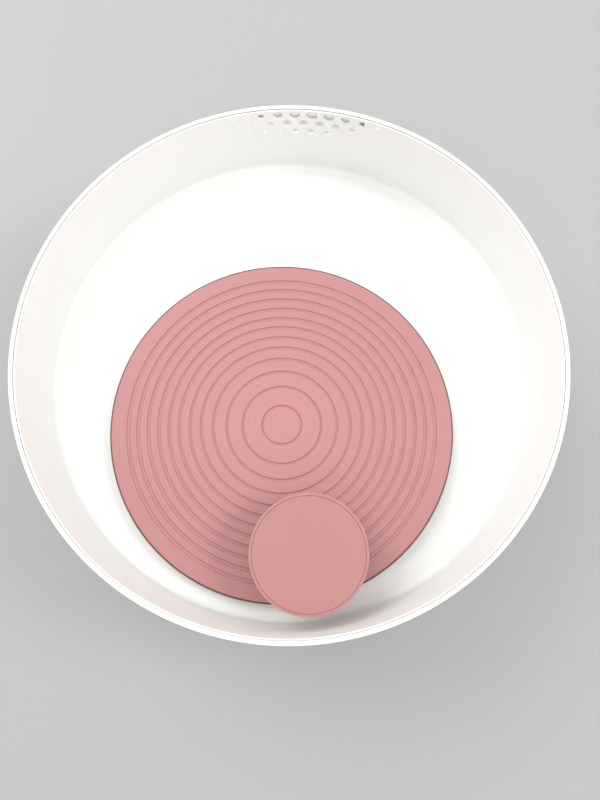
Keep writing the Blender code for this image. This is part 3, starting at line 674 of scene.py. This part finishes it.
def screw_mesh(name, head_radius, face, seat, tip):
    """A pan-head screw with a cross recess. Its head is at face, and its thread is a row of rings that
    ends at tip."""
    down = 1 if face > tip else -1
    side = [(0, face), (head_radius, face, 0.7 * MM), (head_radius, seat, 0.2 * MM), (1.75 * MM, seat)]
    pitch = 0.8 * MM
    turns = int((abs(tip - seat) - 1.5 * MM) / pitch)
    for i in range(turns):
        z = seat - down * (0.6 * MM + i * pitch)
        side += [(1.7 * MM, z), (2.0 * MM, z - down * 0.4 * pitch), (1.7 * MM, z - down * 0.8 * pitch)]
    side += [(1.0 * MM, tip), (0, tip)]
    points = outline(side, 4, closed=False)
    made = turned(name, points if down == 1 else points[::-1], steps=TINY, ring=False)
    for turn in (0.0, math.pi / 2):
        slot = bmesh.new()
        add_box(slot, (1.15 * head_radius, 0.9 * MM, 2.2 * MM), (0.0, 0.0, face), turn)
        combine(made, slot)
    mesh = made.data
    bpy.data.objects.remove(made)
    return mesh


def make_screws(family, head_radius, face, seat, tip):
    mesh = screw_mesh(family, head_radius, face, seat, tip)
    for number in range(1, 5):
        node = f"{family}_{number}"
        own = mesh.copy()
        own.name = node + "_fine"
        stand_for(new_piece(own.name, own, extent(node)[:2]), node, "bright_steel")
    bpy.data.meshes.remove(mesh)


def make_fasteners():
    make_screws("base_screw", 4.0 * MM, PLATE_FOOT + 0.2 * MM, PLATE_FOOT + 2.1 * MM, 24 * MM)
    make_screws("foot_screw", 4.0 * MM, 1.6 * MM, 3.4 * MM, PLATE_TOP - 0.5 * MM)
    make_screws("housing_screw", 4.2 * MM, 18.8 * MM, 15.3 * MM, PLATE_FOOT + 0.5 * MM)
    basin_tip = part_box("basin_screw_1")[0].z
    make_screws("basin_screw", 4.0 * MM, FLOOR_TOP + 3.6 * MM, FLOOR_TOP + 1.6 * MM, basin_tip)
    for number in range(1, 5):
        make_ring(f"basin_washer_{number}", "rubber", SCREW_BORE)


def make_nut(node, across_flats, bore):
    """A hexagon nut with chamfered corners and a countersunk bore."""
    x, y, _, low, high = extent(node)
    corner, lean = across_flats / 2 / math.cos(math.pi / 6), 0.45 * MM
    nut = turned(node + "_fine", outline([
        (corner - 2 * lean, high), (corner, high - lean), (corner, low + lean), (corner - 2 * lean, low),
        (bore + lean, low), (bore, low + lean), (bore, high - lean), (bore + lean, high),
    ]), (x, y), SMALL)
    hexagon = bmesh.new()
    add_cylinder(hexagon, corner, low - MM, high + MM, sides=6)
    combine(nut, hexagon, "INTERSECT")
    stand_for(nut, node, "bright_steel")


# Bearings, their housing, the spindle and the flywheel

BALL_RADIUS, BALL_ORBIT, BALLS = 2.3 * MM, 11.2 * MM, 7
LAND = 1.4 * MM            # from the ball orbit to each race's land


def make_bearing(level):
    """Outer race, inner race, and crown cage with its balls."""
    _, _, radius, low, high = extent(f"{level}_outer_race")
    middle = (low + high) / 2
    track = BALL_RADIUS + GAP
    reach = math.acos(LAND / track)

    def track_points(side):
        """Points across a ball track, from its upper to its lower edge; side is 1 outside, -1 inside."""
        angles = [reach * k / 6 for k in range(6, -7, -1)]
        return [(BALL_ORBIT + side * track * math.cos(a), middle + track * math.sin(a)) for a in angles]

    land = BALL_ORBIT + LAND
    outer = turned(f"{level}_outer_race_fine", outline([
        (radius, high, 0.5 * MM), (radius, low, 0.5 * MM), (land, low, 0.3 * MM), *track_points(1)[::-1],
        (land, high, 0.3 * MM)], 4), WHEEL)
    stand_for(outer, f"{level}_outer_race", "bright_steel")
    land, bore = BALL_ORBIT - LAND, SPINDLE_RADIUS + GAP
    inner = turned(f"{level}_inner_race_fine", outline([
        (land, high, 0.3 * MM), *track_points(-1), (land, low, 0.3 * MM), (bore, low, 0.4 * MM),
        (bore, high, 0.4 * MM)], 4), WHEEL)
    stand_for(inner, f"{level}_inner_race", "bright_steel")

    cage_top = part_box(f"{level}_ball_cage")[1].z
    ring = ring_of(BALL_ORBIT - MM, BALL_ORBIT + MM, middle, cage_top)
    cage = turned(f"{level}_ball_cage_fine", ring, WHEEL)
    balls = bmesh.new()
    for i in range(BALLS):
        place = Matrix.Translation((*on_circle(BALL_ORBIT, 2 * math.pi * i / BALLS), middle))
        bmesh.ops.create_uvsphere(balls, u_segments=32, v_segments=16, radius=BALL_RADIUS, matrix=place)
    combine(cage, balls, "UNION")
    stand_for(cage, f"{level}_ball_cage", "bright_steel")


def make_housing():
    _, _, radius, foot, top = extent("bearing_housing")
    seat, ledge = 16.3 * MM, 13.2 * MM
    lower_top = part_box("lower_outer_race")[1].z + GAP
    upper_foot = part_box("upper_outer_race")[0].z - GAP
    housing = turned("bearing_housing_fine", outline([
        (21 * MM, top, 1 * MM), (21 * MM, 15 * MM, 2.5 * MM), (radius, 15 * MM, 1 * MM),
        (radius, foot, 0.4 * MM), (seat, foot, 0.5 * MM), (seat, lower_top), (ledge, lower_top, 0.3 * MM),
        (ledge, upper_foot, 0.3 * MM), (seat, upper_foot), (seat, top, 0.5 * MM),
    ], 5), WHEEL)
    holes = bmesh.new()
    for a in eighths:
        add_cylinder(holes, SCREW_BORE, foot - MM, 16 * MM, *on_circle(HOUSING_ORBIT, a))
    combine(housing, holes)
    stand_for(housing, "bearing_housing", "cast_aluminium")


def make_spindle():
    _, _, shoulder, foot, top = extent("spindle")
    radius, clip = SPINDLE_RADIUS, 5.0 * MM
    upper_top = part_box("upper_inner_race")[1].z + GAP
    spindle = turned("spindle_fine", outline([
        (0, top), (5.2 * MM, top), (radius, top - 0.8 * MM), (radius, 47.2 * MM),
        (shoulder, 47.2 * MM, 0.3 * MM), (shoulder, upper_top, 0.3 * MM), (radius, upper_top),
        (radius, 13.9 * MM), (clip, 13.9 * MM), (clip, 12.4 * MM), (radius, 12.4 * MM),
        (radius, 11.6 * MM), (5.4 * MM, foot), (0, foot),
    ], 4, closed=False), WHEEL, ring=False)
    cross = bmesh.new()
    add_radial(cross, DRIVE_PIN_RADIUS + GAP, -10 * MM, 10 * MM, 0.0, SOCKET_FOOT + DRIVE_PIN_RISE)
    combine(spindle, cross)
    stand_for(spindle, "spindle", "bright_steel")

    half = 11 * MM
    pin = turned("drive_pin_fine", outline([
        (0, half), (DRIVE_PIN_RADIUS, half, 0.5 * MM), (DRIVE_PIN_RADIUS, -half, 0.5 * MM), (0, -half),
    ], 4, closed=False), WHEEL, TINY, ring=False)
    lie = Matrix.Rotation(math.pi / 2, 4, "Y")
    pin.data.transform(Matrix.Translation((0.0, 0.0, SOCKET_FOOT + DRIVE_PIN_RISE)) @ lie)
    stand_for(pin, "drive_pin", "bright_steel")

    low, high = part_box("spindle_clip")
    retainer = turned("spindle_clip_fine", ring_of(clip + GAP, 9 * MM, low.z, high.z, 0.1 * MM), WHEEL, SMALL)
    opening = bmesh.new()
    add_box(opening, (8 * MM, 7 * MM, 4 * MM), (8 * MM, 0.0, 13 * MM))
    combine(retainer, opening)
    stand_for(retainer, "spindle_clip", "bright_steel")
    make_ring("race_spacer", "bright_steel", SPINDLE_RADIUS + GAP)


def make_flywheel():
    _, _, radius, low, high = extent("flywheel")
    bore, web_top, web_foot = SPINDLE_RADIUS + GAP, high - 3.5 * MM, low + 3.2 * MM
    wheel = turned("flywheel_fine", outline([
        (radius, high, 1.5 * MM), (radius, low, 1.5 * MM), (54 * MM, low, 1 * MM),
        (52 * MM, web_foot, 2 * MM),
        (17 * MM, web_foot, 2 * MM), (15 * MM, low, 0.6 * MM), (bore, low, 0.4 * MM), (bore, high, 0.4 * MM),
        (15 * MM, high, 0.6 * MM), (17 * MM, web_top, 2 * MM), (52 * MM, web_top, 2 * MM),
        (54 * MM, high, 1 * MM),
    ], 5), WHEEL)
    stand_for(wheel, "flywheel", "cast_iron")
    make_ring("flywheel_washer", "bright_steel", bore)
    make_nut("flywheel_nut", 19 * MM, bore)
    make_ring("flinger_ring", "rubber", SOCKET_RADIUS + GAP, 0.4 * MM)


def make_knob_screw():
    x, y, radius, foot, top = extent("knob_screw")
    seat, land = top - 3.0 * MM, HEAD_TOP + GAP
    screw = turned("knob_screw_fine", outline([
        (0, top), (radius, top, 0.8 * MM), (radius, seat, 0.2 * MM), (4 * MM, seat), (4 * MM, land, 0.2 * MM),
        (3 * MM, land), (3 * MM, foot, 0.5 * MM), (0, foot),
    ], 4, closed=False), (x, y), SMALL, ring=False)
    socket = bmesh.new()
    add_cylinder(socket, 2.3 * MM, top - 1.8 * MM, top + MM, sides=6)
    combine(screw, socket)
    stand_for(screw, "knob_screw", "bright_steel")
    make_nut("knob_nut", 10 * MM, KNOB_BOLT_BORE)
    make_ring("knob_washer", "acetal", KNOB_SHOULDER_BORE)
    make_ring("knob_bush", "acetal", KNOB_SHOULDER_BORE)


# Studio

FOCAL_LENGTH, SENSOR = 27.01, 36.0  # both in mm
CAMERA_PLACE = (0.01841, -0.09373, 0.4249)
CAMERA_PITCH, CAMERA_ROLL, CAMERA_YAW = (math.radians(d) for d in (12.69, 1.2, 7.58))


def make_camera():
    """Looks down into the basin, a little from the potter's side."""
    lens = bpy.data.cameras.new("camera")
    lens.lens = FOCAL_LENGTH
    lens.sensor_width = SENSOR
    lens.clip_start = 0.01
    camera = bpy.data.objects.new("camera", lens)
    bpy.context.scene.collection.objects.link(camera)
    turn = Matrix.Rotation(CAMERA_YAW, 4, "Z") @ Matrix.Rotation(CAMERA_PITCH, 4, "X")
    camera.matrix_world = Matrix.Translation(CAMERA_PLACE) @ turn @ Matrix.Rotation(CAMERA_ROLL, 4, "Z")
    bpy.context.scene.camera = camera


def make_light(name, bearing, power, size, height=52.0, distance=1.35):
    """A round softbox that faces the basin's floor. Its bearing is from +X towards +Y, and its height above
    the horizon, both in degrees."""
    data = bpy.data.lights.new(name, "AREA")
    data.shape = "DISK"
    data.size = size
    data.energy = power
    light = bpy.data.objects.new(name, data)
    bpy.context.scene.collection.objects.link(light)
    reach = distance * math.cos(math.radians(height))
    place = Vector((*on_circle(reach, math.radians(bearing)), distance * math.sin(math.radians(height))))
    light.location = place
    light.rotation_euler = (Vector((0.0, 0.0, FLOOR_TOP)) - place).to_track_quat("-Z", "Y").to_euler()


def make_floor():
    mesh = bpy.data.meshes.new("floor")
    shape = bmesh.new()
    bmesh.ops.create_grid(shape, x_segments=1, y_segments=1, size=6.0)
    shape.to_mesh(mesh)
    shape.free()
    floor = new_piece("floor", mesh)
    finish = Finish("floor", 0.7)
    finish.colour(finish.mix(finish.noise(0.4, 3.0), BACKDROP, tint(BACKDROP, 1.072)))
    finish.bump(finish.noise(1.5 * MM, 2.0), 0.03 * MM, 0.4)
    mesh.materials.append(finish.material)


def make_studio():
    scene = bpy.context.scene
    scene.view_settings.view_transform = "Standard"
    world = bpy.data.worlds.new("studio")
    scene.world = world
    world.use_nodes = True
    sky = world.node_tree.nodes["Background"]
    sky.inputs["Color"].default_value = (1.0, 1.0, 1.0, 1.0)
    sky.inputs["Strength"].default_value = 1.09
    make_light("window", 149.0, 7.9, 0.9)
    make_light("lamp", 8.0, 5.4, 0.45)
    make_light("ceiling", 0.0, 2.4, 1.2, height=90.0, distance=1.63)
    make_floor()


make_camera()
make_basin()
make_wheel_head()
make_knob()
make_knob_screw()
make_base()
make_fasteners()
make_housing()
for level in ("lower", "upper"):
    make_bearing(level)
make_spindle()
make_flywheel()
make_studio()
